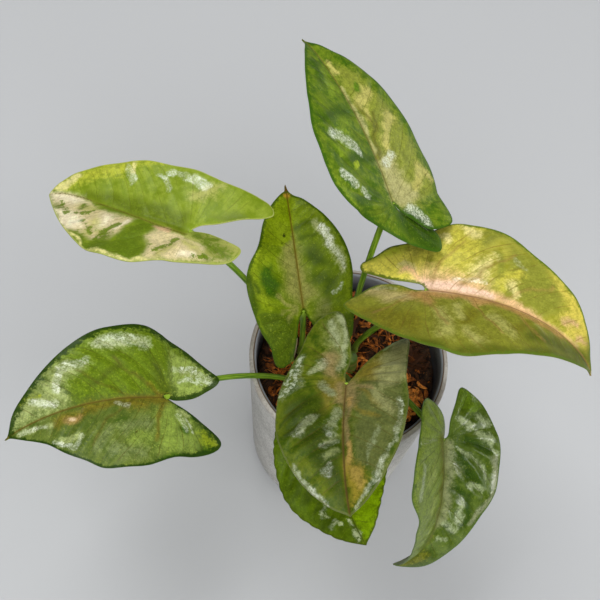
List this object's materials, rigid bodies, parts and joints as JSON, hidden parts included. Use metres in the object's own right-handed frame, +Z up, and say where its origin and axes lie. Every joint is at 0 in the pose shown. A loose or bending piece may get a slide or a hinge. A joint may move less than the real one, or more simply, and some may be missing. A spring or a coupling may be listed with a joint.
{
  "type": "potted arrowhead plant",
  "caption": "Young variegated arrowhead plant with arrow-shaped leaves on thin stalks, growing from loose potting mix in a plain grey round pot.",
  "frame": {"origin": "centre of the pot's flat underside, on the surface it stands on", "axes": "+Z up along the pot's axis; +X to the right and +Y away from the viewer in the picture's view"},
  "size_m": [0.2225, 0.173, 0.2198],
  "materials": {
    "pot_grey": "matte",
    "potting_mix": "matte",
    "stem_green": "satin",
    "stalk_green": "satin",
    "leaf_top": "satin",
    "leaf_back_left": "satin",
    "leaf_middle": "satin",
    "leaf_right": "satin",
    "leaf_front": "satin",
    "leaf_front_low": "satin",
    "leaf_left": "satin",
    "leaf_front_right": "satin"
  },
  "bodies": {
    "root": {"pot": "pot_grey", "soil": "potting_mix", "stem_right": "stem_green", "stem_left": "stem_green", "leaf_top": "leaf_top", "leaf_back_left": "leaf_back_left", "leaf_middle": "leaf_middle", "leaf_right": "leaf_right", "leaf_front": "leaf_front", "leaf_front_low": "leaf_front_low", "leaf_left": "leaf_left", "leaf_front_right": "leaf_front_right", "stalk_top": "stalk_green", "stalk_back_left": "stalk_green", "stalk_middle": "stalk_green", "stalk_right": "stalk_green", "stalk_front": "stalk_green", "stalk_front_low": "stalk_green", "stalk_left": "stalk_green", "stalk_front_right": "stalk_green"}
  },
  "joints": []
}
